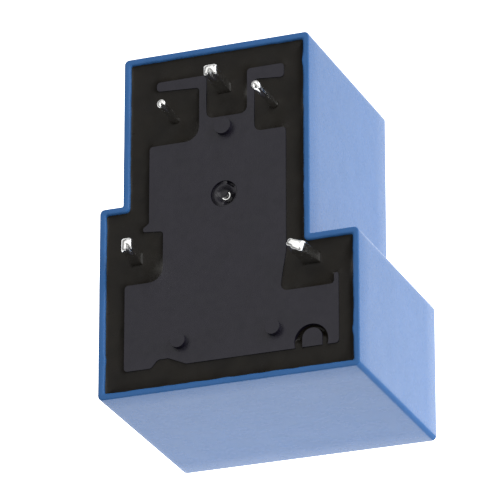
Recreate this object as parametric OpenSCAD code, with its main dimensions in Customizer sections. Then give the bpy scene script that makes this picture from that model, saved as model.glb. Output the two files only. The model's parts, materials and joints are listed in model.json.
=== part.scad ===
// Sealed power relay for a circuit board, lying on its closed face with the pins up.
// X runs across the case, Y towards its narrow end and Z along the pins, in millimetres.
// The origin is on the closed face, at the middle of the case's length and width.

/* [Case] */
// Width across the wide section
case_w = 26.4; // [25.8:0.1:28]
// Length from the wide end to the narrow end
case_l = 35.0; // [33:0.1:36.4]
// Height from the closed face to the rim
case_h = 21.9; // [20.2:0.1:24]
// Thickness of the side walls
case_wall = 0.65; // [0.5:0.05:0.8]
// Thickness of the closed face
case_floor = 1.0; // [0.7:0.1:1.5]
// Set-in of the narrow section on its left side
left_step_w = 2.4; // [2.2:0.1:3]
// Length of the narrow section along its left side
left_step_l = 15.4; // [14.8:0.1:16.4]
// Set-in of the narrow section on its right side
right_step_w = 4.9; // [4.6:0.1:5.4]
// Length of the narrow section along its right side
right_step_l = 21.0; // [20.4:0.1:21.8]
// Radius of the upright outer corners
case_corner_r = 0.3; // [0.25:0.05:0.6]
// Radius of the two inside corners of the outline
case_inside_r = 0.15; // [0.1:0.05:0.3]
// Rounding along the edge of the closed face
case_face_r = 0.2; // [0.15:0.05:0.4]

/* [Base and resin] */
// Depth of the plateau below the rim
plateau_sink = 0.3; // [0.1:0.05:0.5]
// Depth of the resin's surface below the rim
resin_sink = 0.65; // [0.5:0.05:1]
// Depth of the resin in the channel
resin_depth = 1.4; // [1:0.1:1.8]
// Thickness of the base under the resin
base_floor = 1.7; // [1.2:0.1:2]
// Gap between the base and the case wall
base_clearance = 0.05; // [0.03:0.01:0.1]
// Channel from the case's outside to the plateau, narrow section, left
channel_left = 2.6; // [2.2:0.1:3]
// Channel from the case's outside to the plateau, narrow section, right
channel_right = 2.5; // [2:0.1:2.7]
// Channel from the case's outside to the plateau, narrow end
channel_narrow_end = 2.8; // [2.4:0.05:3.1]
// Channel from the case's outside to the plateau, wide section, left
channel_wide_left = 2.55; // [2.3:0.05:3]
// Channel from the case's outside to the plateau, wide section, right
channel_wide_right = 2.15; // [1.9:0.05:2.6]
// Channel from the case's outside to the plateau, wide end
channel_wide_end = 2.65; // [2.3:0.05:3]
// Corner radius of the plateau
plateau_r = 0.35; // [0.2:0.05:0.45]
// Radius at the bottom of the resin bays
bay_r = 0.7; // [0.4:0.05:0.8]
// Width of the two arms beside the common terminal
arm_w = 1.2; // [1:0.05:1.4]
// Reach of the left arm past the coil pin's axis
arm_reach_left = 1.9; // [1.4:0.1:2.4]
// Reach of the right arm past the coil pin's axis
arm_reach_right = 1.05; // [0.6:0.05:1.2]
// Taper of the left arm towards its end, and flare of the right arm
arm_taper = 0.25; // [0.1:0.05:0.35]
// Width of the bay round the common terminal
com_bay_w = 4.2; // [3.8:0.1:4.6]
// Depth of that bay below the terminal's axis
com_bay_drop = 3.0; // [2.4:0.05:3.1]
// Distance from the pins' middle to the middle of the bays at the narrow end
bay_shift = 0.25; // [0.1:0.05:0.35]
// Distance from a coil pin's axis to the plateau beside it
coil_bay_inner = 2.25; // [2:0.05:2.35]
// Distance from a coil pin's axis to the plateau below it
coil_bay_drop = 2.55; // [2.1:0.05:2.8]
// Distance from the left blade's axis to the plateau beside it
left_bay_inner = 2.65; // [2.3:0.05:3.1]
// Reach of the left bay above the blade's axis
left_bay_up = 2.65; // [2.4:0.05:3]
// Reach of the left bay below the blade's axis
left_bay_down = 2.65; // [2.2:0.05:3]
// Radius at the inner corners of the two bays on the left
left_bay_r = 1.4; // [1:0.1:1.6]
// Slope of the left bay's upper edge
left_bay_slope = 0.2; // [0.1:0.05:0.4]
// Reach of the small lip at the left bay's upper end
left_lip_w = 0.6; // [0.4:0.05:0.8]
// Height of that lip
left_lip_h = 0.8; // [0.75:0.05:1]
// Drop of the lip's upper edge
left_lip_drop = 0.4; // [0.2:0.05:0.4]
// Distance from the right blade's axis to the plateau beside it
right_bay_inner = 3.25; // [2.9:0.05:3.4]
// Reach of the right bay above the blade's axis
right_bay_up = 1.2; // [0.8:0.1:2]
// Reach of the right bay below the blade's axis
right_bay_down = 2.9; // [2.5:0.1:3.2]
// Height of the small lip at the right bay's outer end
bay_lip_h = 1.1; // [0.8:0.05:1.3]
// Width of that lip
bay_lip_w = 0.45; // [0.4:0.05:0.6]
// Width of the resin run-in at the wide end
run_in_w = 3.6; // [3.2:0.1:4]
// Depth of the resin run-in
run_in_depth = 0.8; // [0.6:0.05:1.1]
// Length of the run-in's steep end
run_in_rise = 0.7; // [0.5:0.05:0.9]
// Length of the run-in's shallow end
run_in_fall = 1.8; // [1.5:0.1:2]
// Distance from the run-in's middle to the case's middle
run_in_shift = -6.1; // [-6.5:0.1:-5.3]
// Width of the arched vent post
vent_post_d = 2.0; // [1.8:0.05:2.2]
// Diameter of the moat round the vent post
vent_moat_d = 3.4; // [3.2:0.05:3.6]
// Shift of the vent post from the moat's axis, to the right
vent_post_right = 0.1; // [0:0.05:0.2]
// Shift of the vent post from the moat's axis, towards the narrow end
vent_post_up = 0.3; // [0.2:0.05:0.4]
// Distance from the moat's axis to the right side
vent_inset_x = 4.9; // [4.6:0.05:5.3]
// Distance from the moat's axis to the wide end
vent_inset_y = 3.2; // [3:0.05:3.6]
// Diameter of the recess at the core's end
core_recess_d = 2.7; // [2.4:0.1:3.4]
// Height of the standoffs above the rim
foot_rise = 0.3; // [0.2:0.05:0.6]
// Diameter of the standoff at the narrow end
narrow_foot_d = 1.7; // [1.3:0.05:2]
// Distance from the common terminal to that standoff
narrow_foot_drop = 4.2; // [3.8:0.05:4.6]
// Diameter of the two standoffs at the wide end
wide_foot_d = 1.5; // [1.2:0.05:1.9]
// Distance between those two standoffs
wide_foot_pitch = 9.55; // [8.4:0.05:10.2]
// Distance from the middle between them to the case's middle
wide_foot_shift = -0.2; // [-0.4:0.05:0.3]
// Distance from those standoffs to the wide end
wide_foot_inset = 4.95; // [4.6:0.05:5.5]

/* [Pins] */
// Pitch of the board's grid
grid = 2.54; // [2.5:0.01:2.58]
// Distance from the pin pattern's middle to the case's middle
pattern_shift = -0.5; // [-0.6:0.02:0]
// Distance from the common terminal's axis to the narrow end
com_inset = 4.4; // [4.3:0.05:4.7]
// Reach of every pin above the rim
pin_rise = 3.7; // [3:0.1:5]
// Diameter of the coil pins where they enter the board
coil_pin_d = 0.8; // [0.6:0.05:1]
// Width of the coil pins' square root inside the relay
coil_root_w = 0.9; // [0.8:0.05:1]
// Length of the rounded tip of a coil pin
coil_tip_l = 0.4; // [0.3:0.05:0.6]
// Diameter of the flat at that tip
coil_tip_d = 0.35; // [0.2:0.05:0.45]
// Length of a coil pin's winding post below the bobbin's ear
coil_post_l = 1.7; // [1.2:0.1:2.2]
// Width of the common blade
com_blade_w = 1.25; // [1.1:0.05:1.7]
// Width of the left blade
left_blade_w = 1.25; // [1.1:0.05:1.7]
// Width of the right blade
right_blade_w = 1.6; // [1.3:0.05:1.9]
// Thickness of the terminal sheet
blade_t = 1.0; // [0.8:0.05:1.1]
// Length of the tapered tip of a blade
blade_tip_l = 0.5; // [0.3:0.05:0.8]
// Bevel on each side of that tip
blade_tip_bevel = 0.22; // [0.15:0.01:0.3]
// Gap round a pin or blade in its hole
pin_clearance = 0.05; // [0.03:0.01:0.08]

/* [Contacts] */
// Distance from the contacts' axis to the wide end
contact_inset = 6.45; // [5.8:0.05:7]
// Diameter of the contact faces
contact_d = 3.0; // [2.4:0.1:3.4]
// Diameter of the flat on a contact face
contact_flat_d = 1.2; // [0.8:0.1:1.6]
// Height of the crown of a contact face
contact_crown = 0.2; // [0.15:0.05:0.3]
// Diameter of the contact shanks
contact_shank_d = 1.6; // [1.2:0.1:1.8]
// Distance that the moving contact travels
contact_gap = 1.2; // [0.9:0.05:1.5]
// Gap left between contacts that meet
contact_clearance = 0.06; // [0.04:0.01:0.1]
// Height of the fixed contact near the closed face
nc_contact_h = 0.5; // [0.4:0.05:0.7]
// Height of the fixed contact near the base
no_contact_h = 0.6; // [0.4:0.05:0.8]
// Height of the moving contact towards the closed face
moving_lower_h = 0.6; // [0.4:0.05:0.8]
// Height of the moving contact towards the base
moving_upper_h = 0.8; // [0.6:0.05:1]
// Width of the contact strips
strip_w = 3.8; // [3.4:0.1:4.4]
// Thickness of the contact strips
strip_t = 0.7; // [0.5:0.05:0.9]
// Gap between the lower strip and the closed face
strip_gap = 0.25; // [0.15:0.05:0.5]
// Width of the terminals' shoulders under the base
shoulder_w = 3.2; // [2.6:0.1:3.6]

/* [Magnet and coil] */
// Thickness of the yoke
yoke_t = 1.5; // [1.2:0.05:1.8]
// Bend radius outside the yoke
yoke_bend_r = 1.4; // [1:0.1:1.6]
// Gap between the yoke and the bobbin's ears
yoke_side_gap = 0.28; // [0.15:0.01:0.5]
// Reach of the yoke past the core's axis
yoke_past_core = 4.0; // [3.4:0.1:5]
// Thickness of the armature
armature_t = 1.4; // [1.1:0.05:1.6]
// Width of the armature
armature_w = 9.0; // [8:0.1:10]
// Width of the armature's hinge end
armature_tail_w = 7.0; // [6:0.1:7.8]
// Reach of the armature past the pole face
armature_past_pole = 1.3; // [0.8:0.1:2]
// Reach of the armature under the yoke's edge
armature_under_yoke = 0.7; // [0.5:0.05:0.9]
// Gap between the armature and the yoke's edge
hinge_clearance = 0.05; // [0.03:0.01:0.08]
// Gap between the pole face and the closed armature
pole_clearance = 0.06; // [0.04:0.01:0.1]
// Diameter of the core's shaft
core_d = 5.0; // [4:0.1:5.6]
// Diameter of the pole face
pole_d = 7.5; // [6.4:0.1:8]
// Thickness of the pole face
pole_t = 0.8; // [0.6:0.05:1.2]
// Diameter of the core's stake in the yoke
stake_d = 2.6; // [2:0.1:3]
// Diameter of the core's tip in the base
core_tip_d = 1.2; // [1:0.05:1.6]
// Depth of the core's tip below the plateau
core_tip_sink = 0.15; // [0.05:0.05:0.4]
// Diameter of the dimple in the core's tip
core_dimple_d = 0.6; // [0.4:0.05:0.8]
// Depth of the dimple in the core's tip
core_dimple = 0.2; // [0.1:0.05:0.4]
// Depth of the resin round the core's tip below the plateau
core_resin_sink = 0.4; // [0.3:0.05:0.8]
// Thickness of the bobbin's tube
bobbin_wall = 0.85; // [0.6:0.05:1]
// Thickness of the bobbin's flanges
flange_t = 0.8; // [0.6:0.05:1]
// Reach of the flanges past the winding
flange_lip = 0.4; // [0.2:0.05:0.6]
// Corner radius of the flanges
flange_r = 1.5; // [1:0.1:2.5]
// Gap between the bobbin's flange and the yoke's leg
flange_gap = 2.0; // [1.8:0.05:2.4]
// Width of the bobbin's ears
ear_w = 2.0; // [1.6:0.1:2.2]
// Reach of the ears past the coil pins
ear_past_pin = 1.0; // [0.8:0.05:1.2]
// Diameter of the winding
winding_d = 12.8; // [11.6:0.1:13.4]
// Diameter of the wire ends
lead_d = 0.25; // [0.2:0.05:0.4]
// Distance from the ear to the wire ends
lead_drop = 0.75; // [0.5:0.05:0.9]
// Diameter of the solder round the winding posts
solder_d = 1.6; // [1.55:0.05:1.9]
// Gap between round pieces that fit together
fit_gap = 0.03; // [0.02:0.01:0.05]

/* [Leaf and rivets] */
// Thickness of the contact leaf
leaf_t = 0.3; // [0.2:0.05:0.4]
// Width of the leaf at the hinge
leaf_w = 5.6; // [5:0.1:6.4]
// Width of the leaf at the contact
leaf_tip_w = 4.0; // [3.6:0.1:4.4]
// Corner radius of the leaf's end
leaf_tip_r = 1.3; // [1:0.1:1.6]
// Rounding along the leaf's cut edges
leaf_edge_r = 0.07; // [0.04:0.01:0.09]
// Bend radius outside the leaf
leaf_bend_r = 0.9; // [0.7:0.05:1]
// Reach of the leaf and the common plate past the rivets
rivet_edge = 1.7; // [1.4:0.1:2]
// Height of the rivets above the yoke's hinge edge
com_rivet_rise = 5.0; // [4.4:0.1:6]
// Distance between two rivets
rivet_pitch = 2.8; // [2.6:0.1:3]
// Diameter of the rivets' shanks
rivet_d = 1.2; // [1:0.05:1.4]
// Diameter of the rivets' heads
rivet_head_d = 2.0; // [1.7:0.05:2.3]
// Height of the rivets' heads
rivet_head_h = 0.4; // [0.3:0.05:0.5]
// Distance from the yoke's leg to the armature's rivets
armature_rivet_inset = 2.8; // [2.4:0.1:3]

/* [Hidden] */

// Facets of a full circle
$fn = 64;
// Straight pieces in each rounded corner of an outline
arc_steps = 5;
// Straight pieces in the rounding of the closed face
face_steps = 5;
// Grid steps from the pattern's middle to a coil pin and to a load blade
coil_steps = 2;
load_steps = 3.5;
// Grid steps from the common terminal to the rows of the coil pins and of the load blades
coil_row = 1;
no_row = 6.5;
nc_row = 7.5;
// Smallest corner radius of an outline
least_r = 0.2;
// Extra reach of a cut past the face it opens
cut = 1;
// Overlap between parts of one piece
bite = 0.2;
// Reach of the edge trim past the faces it meets, as a share of one step
trim_reach = 0.1;

// Outline of the case
narrow_left_x = -case_w / 2 + left_step_w;
narrow_right_x = case_w / 2 - right_step_w;
left_shoulder_y = case_l / 2 - left_step_l;
right_shoulder_y = case_l / 2 - right_step_l;

// Levels of the base, from the rim down
plateau_z = case_h - plateau_sink;
resin_z = case_h - resin_sink;
ledge_z = resin_z - resin_depth;
base_z = ledge_z - base_floor;
foot_z = case_h + foot_rise;
tip_z = case_h + pin_rise;

// Pins, on the board's grid
pattern_x = pattern_shift;
com_y = case_l / 2 - com_inset;
coil_y = com_y - coil_row * grid;
coil_left_x = pattern_x - coil_steps * grid;
coil_right_x = pattern_x + coil_steps * grid;
no_x = pattern_x - load_steps * grid;
no_y = com_y - no_row * grid;
nc_x = pattern_x + load_steps * grid;
nc_y = com_y - nc_row * grid;

// Yoke and coil, from the common terminal inwards
leg_out_y = com_y - blade_t / 2 - leaf_t;
leg_in_y = leg_out_y - yoke_t;
yoke_w = coil_right_x - coil_left_x - ear_w - 2 * yoke_side_gap;
yoke_z = base_z - yoke_t;
flange_w = winding_d + 2 * flange_lip;
core_y = leg_in_y - flange_gap - flange_w / 2;
tube_r = core_d / 2 + fit_gap + bobbin_wall;

// Contacts and armature, from the closed face up
contact_x = pattern_x;
contact_y = -case_l / 2 + contact_inset;
nc_strip_z = case_floor + strip_gap;
nc_face_z = nc_strip_z + strip_t + nc_contact_h;
leaf_z = nc_face_z + contact_clearance + moving_lower_h;
armature_z = leaf_z + leaf_t;
hinge_z = armature_z + armature_t;
no_face_z = armature_z + moving_upper_h + contact_gap + contact_clearance;
no_strip_z = no_face_z + no_contact_h;
yoke_edge_z = hinge_z + hinge_clearance;
swing = asin(contact_gap / (leg_in_y - contact_y));
pole_z = hinge_z + (leg_in_y - core_y + pole_d / 2) * sin(swing) + pole_clearance;
bobbin_z = pole_z + pole_t;
armature_end_y = core_y - pole_d / 2 - armature_past_pole;
armature_tail_y = leg_in_y + armature_under_yoke;
rivet_z = yoke_edge_z + com_rivet_rise;
armature_rivet_y = leg_in_y - armature_rivet_inset;

// Winding posts and wire ends
ear_z = yoke_z - flange_t;
post_z = ear_z - coil_post_l;
lead_z = ear_z - lead_drop;

// Unit vector along v
function unit(v) = v / norm(v);

// Direction of v, as an angle from X
function heading(v) = atan2(v[1], v[0]);

// Turn from angle a to angle b by the shorter way
function turn(a, b) = let (d = b - a) d > 180 ? d - 360 : d < -180 ? d + 360 : d;

// Arc that rounds the corner c between the corners before and after it
function corner_arc(before, c, after) =
    let (
        p = [c[0], c[1]],
        r = c[2],
        back = unit([before[0], before[1]] - p),
        ahead = unit([after[0], after[1]] - p),
        half = acos(back * ahead) / 2,
        centre = p + unit(back + ahead) * r / sin(half),
        start = heading(p + back * r / tan(half) - centre),
        sweep = turn(start, heading(p + ahead * r / tan(half) - centre))
    )
    [for (i = [0:arc_steps]) let (a = start + sweep * i / arc_steps) centre + r * [cos(a), sin(a)]];

// Outline through corners given as [x, y, radius]
function rounded(corners) =
    let (n = len(corners))
    [for (i = [0:n - 1]) each corner_arc(corners[(i + n - 1) % n], corners[i], corners[(i + 1) % n])];

// Outline of the case, set in by a distance
function case_outline(inset) =
    let (
        left = -case_w / 2 + inset,
        right = case_w / 2 - inset,
        wide_end = -case_l / 2 + inset,
        narrow_end = case_l / 2 - inset,
        narrow_left = narrow_left_x + inset,
        narrow_right = narrow_right_x - inset,
        left_shoulder = left_shoulder_y - inset,
        right_shoulder = right_shoulder_y - inset,
        outer_r = max(case_corner_r - inset, least_r),
        inner_r = case_inside_r + inset / 2
    )
    rounded([
        [left, wide_end, outer_r],
        [right, wide_end, outer_r],
        [right, right_shoulder, outer_r],
        [narrow_right, right_shoulder, inner_r],
        [narrow_right, narrow_end, outer_r],
        [narrow_left, narrow_end, outer_r],
        [narrow_left, left_shoulder, inner_r],
        [left, left_shoulder, outer_r]
    ]);

// Outline of the plateau, with its bays and arms
function plateau_outline() =
    let (
        left = narrow_left_x + channel_left,
        right = narrow_right_x - channel_right,
        wide_left = -case_w / 2 + channel_wide_left,
        wide_right = case_w / 2 - channel_wide_right,
        end_y = -case_l / 2 + channel_wide_end,
        tip_y = case_l / 2 - channel_narrow_end,
        arm_y = tip_y - arm_w,
        neck_left = coil_left_x + bay_shift + coil_bay_inner,
        neck_right = coil_right_x + bay_shift - coil_bay_inner,
        com_left = pattern_x + bay_shift - com_bay_w / 2,
        com_right = pattern_x + bay_shift + com_bay_w / 2,
        com_floor = com_y - com_bay_drop,
        coil_floor = coil_y - coil_bay_drop,
        left_bay_x = no_x + left_bay_inner,
        left_bay_top = no_y + left_bay_up,
        left_lip_top = left_bay_top + left_lip_h,
        left_bay_floor = no_y - left_bay_down,
        right_bay_x = nc_x - right_bay_inner,
        right_bay_top = nc_y + right_bay_up,
        right_bay_floor = nc_y - right_bay_down,
        run_in_y = end_y + run_in_depth,
        run_in_left = run_in_shift - run_in_w / 2,
        run_in_right = run_in_shift + run_in_w / 2
    )
    rounded([
        [wide_left, end_y, plateau_r],
        [run_in_left, end_y, plateau_r],
        [run_in_left + run_in_rise, run_in_y, bay_r],
        [run_in_right - run_in_fall, run_in_y, bay_r],
        [run_in_right, end_y, plateau_r],
        [wide_right, end_y, plateau_r],
        [wide_right, right_bay_floor + bay_lip_h, least_r],
        [wide_right - bay_lip_w, right_bay_floor + bay_lip_h, least_r],
        [wide_right - bay_lip_w, right_bay_floor, plateau_r],
        [right_bay_x, right_bay_floor, bay_r],
        [right, right_bay_top, plateau_r],
        [right, coil_floor, plateau_r],
        [neck_right, coil_floor, bay_r],
        [neck_right, arm_y, plateau_r],
        [coil_right_x + arm_reach_right, arm_y - arm_taper, plateau_r],
        [coil_right_x + arm_reach_right, tip_y, plateau_r],
        [com_right, tip_y, plateau_r],
        [com_right, com_floor, bay_r],
        [com_left, com_floor, bay_r],
        [com_left, tip_y, plateau_r],
        [coil_left_x - arm_reach_left, tip_y, plateau_r],
        [coil_left_x - arm_reach_left, arm_y + arm_taper, plateau_r],
        [neck_left, arm_y, plateau_r],
        [neck_left, coil_floor, left_bay_r],
        [left, coil_floor, plateau_r],
        [left, left_lip_top, plateau_r],
        [left - left_lip_w, left_lip_top - left_lip_drop, least_r],
        [left - left_lip_w, left_bay_top, least_r],
        [left_bay_x, left_bay_top - left_bay_slope, plateau_r],
        [left_bay_x, left_bay_floor, left_bay_r],
        [wide_left, left_bay_floor, plateau_r]
    ]);

// Face of a blade or of its edge: straight sides and a tapered tip
function blade_profile(w, z0) = [
    [-w / 2, z0],
    [w / 2, z0],
    [w / 2, tip_z - blade_tip_l],
    [w / 2 - blade_tip_bevel, tip_z],
    [-w / 2 + blade_tip_bevel, tip_z],
    [-w / 2, tip_z - blade_tip_l]
];

// Place its children on the axis of the vent post's moat
module at_vent() {
    translate([case_w / 2 - vent_inset_x, -case_l / 2 + vent_inset_y])
        children();
}

// Arched vent post, seen from above, flush with the plateau's wide end
module vent_post_2d() {
    drop = vent_inset_y + vent_post_up - channel_wide_end;
    at_vent()
        translate([vent_post_right, vent_post_up]) {
            intersection() {
                circle(d = vent_post_d);
                translate([-vent_post_d / 2, 0])
                    square(vent_post_d);
            }
            translate([-vent_post_d / 2, -drop])
                square([vent_post_d, drop]);
        }
}

// Raised part of the base, seen from above
module plateau_2d() {
    difference() {
        polygon(plateau_outline());
        at_vent() circle(d = vent_moat_d);
    }
    vent_post_2d();
}

// Sections of the coil pins and blades where they pass the base, grown by a gap
module pin_sections(gap) {
    for (x = [coil_left_x, coil_right_x])
        translate([x, coil_y]) square(coil_root_w + 2 * gap, center = true);
    translate([pattern_x, com_y])
        square([com_blade_w + 2 * gap, blade_t + 2 * gap], center = true);
    translate([no_x, no_y])
        square([blade_t + 2 * gap, left_blade_w + 2 * gap], center = true);
    translate([nc_x, nc_y])
        square([right_blade_w + 2 * gap, blade_t + 2 * gap], center = true);
}

// Standing blade with a tapered tip, its width along X
module blade(w, z0) {
    intersection() {
        rotate([90, 0, 0])
            linear_extrude(blade_t, center = true)
                polygon(blade_profile(w, z0));
        rotate([90, 0, 90])
            linear_extrude(w, center = true)
                polygon(blade_profile(blade_t, z0));
    }
}

// Contact face pointing up from z = 0, with a shank below it
module contact_button(h, shank_l) {
    rotate_extrude()
        polygon([
            [0, -shank_l],
            [contact_shank_d / 2, -shank_l],
            [contact_shank_d / 2, 0],
            [contact_d / 2, 0],
            [contact_d / 2, h - contact_crown],
            [contact_flat_d / 2, h],
            [0, h]
        ]);
}

// Rivet along Z that grips a stack from z = 0
module rivet(grip) {
    cylinder(d = rivet_d, h = grip);
    translate([0, 0, -rivet_head_h])
        cylinder(d = rivet_head_d, h = rivet_head_h);
    translate([0, 0, grip])
        cylinder(d = rivet_head_d, h = rivet_head_h);
}

// Rivet holes through the common terminal, the leaf and the yoke
module com_rivet_holes() {
    for (side = [-1, 1])
        translate([pattern_x + side * rivet_pitch / 2, com_y + blade_t, rivet_z])
            rotate([90, 0, 0])
                cylinder(d = rivet_d + 2 * fit_gap, h = 2 * blade_t + leaf_t + yoke_t + cut);
}

// Rivet holes through the leaf and the armature
module armature_rivet_holes() {
    for (side = [-1, 1])
        translate([pattern_x + side * rivet_pitch / 2, armature_rivet_y, leaf_z - cut])
            cylinder(d = rivet_d + 2 * fit_gap, h = leaf_t + armature_t + 2 * cut);
}

// Hole for a contact's shank through a strip that starts at z
module shank_hole(z) {
    translate([contact_x, contact_y, z - cut])
        cylinder(d = contact_shank_d + 2 * fit_gap, h = strip_t + 2 * cut);
}

// Flat strip with a round end at the contacts, reaching to x
module contact_strip(x) {
    translate([contact_x, contact_y]) circle(d = strip_w);
    translate([min(contact_x, x), contact_y - strip_w / 2])
        square([abs(x - contact_x), strip_w]);
}

// Ring that trims the edge of the closed face to a round, one outline for each step of its section
module face_edge_trim() {
    arc = [
        for (i = [face_steps:-1:0])
            let (a = 90 * i / face_steps)
            case_face_r * [1 - sin(a), 1 - cos(a)]
    ];
    run_out = trim_reach * (arc[0] - arc[1]);
    run_in = trim_reach * (arc[face_steps] - arc[face_steps - 1]);
    section = concat(
        [arc[0] + run_out],
        arc,
        [
            arc[face_steps] + run_in,
            [case_face_r + run_in[0], -least_r / 2],
            [-least_r / 2, -least_r / 2],
            [-least_r / 2, case_face_r + run_out[1]]
        ]
    );
    rings = [for (s = section) [for (p = case_outline(s[0])) [p[0], p[1], s[1]]]];
    m = len(rings);
    n = len(rings[0]);
    faces = [
        for (k = [0:m - 1], i = [0:n - 1])
            let (up = (k + 1) % m, j = (i + 1) % n)
            [k * n + i, up * n + i, up * n + j, k * n + j]
    ];
    polyhedron([for (ring = rings) each ring], faces);
}

module cover() {
    color("#4a7fc4")
        difference() {
            linear_extrude(case_h)
                polygon(case_outline(0));
            translate([0, 0, case_floor])
                linear_extrude(case_h - case_floor + cut)
                    polygon(case_outline(case_wall));
            face_edge_trim();
        }
}

module base() {
    color("#3a383c")
        difference() {
            union() {
                translate([0, 0, base_z])
                    linear_extrude(base_floor)
                        polygon(case_outline(case_wall + base_clearance));
                translate([0, 0, ledge_z - bite])
                    linear_extrude(plateau_z - ledge_z + bite)
                        plateau_2d();
                standoffs();
            }
            translate([0, 0, base_z - cut])
                linear_extrude(base_floor + 2 * cut)
                    pin_sections(pin_clearance);
            translate([pattern_x, core_y, base_z - cut])
                cylinder(d = core_recess_d, h = plateau_z - base_z + 2 * cut);
        }
}

// The three standoffs that touch the board
module standoffs() {
    wide_foot_y = -case_l / 2 + wide_foot_inset;
    translate([pattern_x, com_y - narrow_foot_drop, plateau_z - bite])
        cylinder(d = narrow_foot_d, h = foot_z - plateau_z + bite);
    for (side = [-1, 1])
        translate([wide_foot_shift + side * wide_foot_pitch / 2, wide_foot_y, plateau_z - bite])
            cylinder(d = wide_foot_d, h = foot_z - plateau_z + bite);
}

module potting() {
    color("#241f1c") {
        translate([0, 0, ledge_z])
            linear_extrude(resin_depth)
                difference() {
                    polygon(case_outline(case_wall));
                    plateau_2d();
                    pin_sections(fit_gap);
                }
        translate([pattern_x, core_y, base_z])
            difference() {
                cylinder(d = core_recess_d - 2 * fit_gap, h = plateau_z - core_resin_sink - base_z);
                translate([0, 0, -cut])
                    cylinder(d = core_tip_d + 2 * fit_gap, h = plateau_z - base_z + 2 * cut);
            }
    }
}

// Rounded square flange of the bobbin
module flange_2d() {
    half = flange_w / 2;
    polygon(rounded([
        [-half, -half, flange_r],
        [half, -half, flange_r],
        [half, half, flange_r],
        [-half, half, flange_r]
    ]));
}

module bobbin() {
    color("#e8e4d8")
        difference() {
            union() {
                translate([pattern_x, core_y, bobbin_z])
                    cylinder(r = tube_r, h = yoke_z - bobbin_z);
                for (z = [bobbin_z, ear_z])
                    translate([pattern_x, core_y, z])
                        linear_extrude(flange_t)
                            flange_2d();
                for (x = [coil_left_x, coil_right_x])
                    translate([x - ear_w / 2, core_y, ear_z])
                        cube([ear_w, coil_y + ear_past_pin - core_y, flange_t]);
            }
            translate([pattern_x, core_y, bobbin_z - cut])
                cylinder(d = core_d + 2 * fit_gap, h = yoke_z - bobbin_z + 2 * cut);
            for (x = [coil_left_x, coil_right_x])
                translate([x, coil_y, ear_z - cut])
                    coil_root(fit_gap, flange_t + 2 * cut);
        }
}

module coil_winding() {
    color("#b06a3a")
        translate([pattern_x, core_y, bobbin_z + flange_t])
            difference() {
                cylinder(d = winding_d, h = ear_z - bobbin_z - flange_t);
                translate([0, 0, -cut])
                    cylinder(r = tube_r + fit_gap, h = ear_z - bobbin_z + 2 * cut);
            }
}

module core() {
    color("#a8a8a4")
        translate([pattern_x, core_y, 0])
            rotate_extrude()
                polygon([
                    [0, pole_z],
                    [pole_d / 2, pole_z],
                    [pole_d / 2, bobbin_z],
                    [core_d / 2, bobbin_z],
                    [core_d / 2, yoke_z],
                    [stake_d / 2, yoke_z],
                    [stake_d / 2, base_z],
                    [core_tip_d / 2, base_z],
                    [core_tip_d / 2, plateau_z - core_tip_sink],
                    [core_dimple_d / 2, plateau_z - core_tip_sink],
                    [0, plateau_z - core_tip_sink - core_dimple]
                ]);
}

module yoke() {
    profile = rounded([
        [core_y - yoke_past_core, yoke_z, least_r],
        [leg_in_y, yoke_z, least_r],
        [leg_in_y, yoke_edge_z, least_r],
        [leg_out_y, yoke_edge_z, least_r],
        [leg_out_y, base_z, yoke_bend_r],
        [core_y - yoke_past_core, base_z, least_r]
    ]);
    color("#8f9290")
        difference() {
            translate([pattern_x, 0, 0])
                rotate([90, 0, 90])
                    linear_extrude(yoke_w, center = true)
                        polygon(profile);
            translate([pattern_x, core_y, yoke_z - cut])
                cylinder(d = stake_d + 2 * fit_gap, h = yoke_t + 2 * cut);
            com_rivet_holes();
        }
}

module armature() {
    outline = rounded([
        [-armature_w / 2, armature_end_y, plateau_r],
        [armature_w / 2, armature_end_y, plateau_r],
        [armature_w / 2, armature_rivet_y, plateau_r],
        [armature_tail_w / 2, leg_in_y - bite, plateau_r],
        [armature_tail_w / 2, armature_tail_y, least_r],
        [-armature_tail_w / 2, armature_tail_y, least_r],
        [-armature_tail_w / 2, leg_in_y - bite, plateau_r],
        [-armature_w / 2, armature_rivet_y, plateau_r]
    ]);
    color("#989a98")
        difference() {
            translate([pattern_x, 0, armature_z])
                linear_extrude(armature_t)
                    polygon(outline);
            armature_rivet_holes();
        }
}

module contact_spring() {
    tip_y = contact_y - leaf_tip_w / 2;
    back_y = leg_out_y + leaf_t;
    top_z = rivet_z + rivet_edge;
    bend = rounded([
        [tip_y, leaf_z, leaf_edge_r],
        [back_y, leaf_z, leaf_bend_r],
        [back_y, top_z, leaf_edge_r],
        [leg_out_y, top_z, leaf_edge_r],
        [leg_out_y, armature_z, leaf_bend_r - leaf_t],
        [tip_y, armature_z, leaf_edge_r]
    ]);
    plan = rounded([
        [-leaf_tip_w / 2, tip_y, leaf_tip_r],
        [leaf_tip_w / 2, tip_y, leaf_tip_r],
        [leaf_w / 2, armature_end_y, plateau_r],
        [leaf_w / 2, back_y + cut, plateau_r],
        [-leaf_w / 2, back_y + cut, plateau_r],
        [-leaf_w / 2, armature_end_y, plateau_r]
    ]);
    color("#c79a52")
        difference() {
            intersection() {
                translate([pattern_x, 0, 0])
                    rotate([90, 0, 90])
                        linear_extrude(leaf_w + 2 * cut, center = true)
                            polygon(bend);
                translate([pattern_x, 0, leaf_z - cut])
                    linear_extrude(top_z - leaf_z + 2 * cut)
                        polygon(plan);
            }
            com_rivet_holes();
            armature_rivet_holes();
            translate([contact_x, contact_y, leaf_z - cut])
                cylinder(d = contact_shank_d + 2 * fit_gap, h = leaf_t + 2 * cut);
        }
}

module moving_contact() {
    color("#d9d9dc")
        translate([contact_x, contact_y, armature_z]) {
            contact_button(moving_upper_h, leaf_t);
            translate([0, 0, -leaf_t])
                mirror([0, 0, 1])
                    contact_button(moving_lower_h, 0);
        }
}

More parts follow.
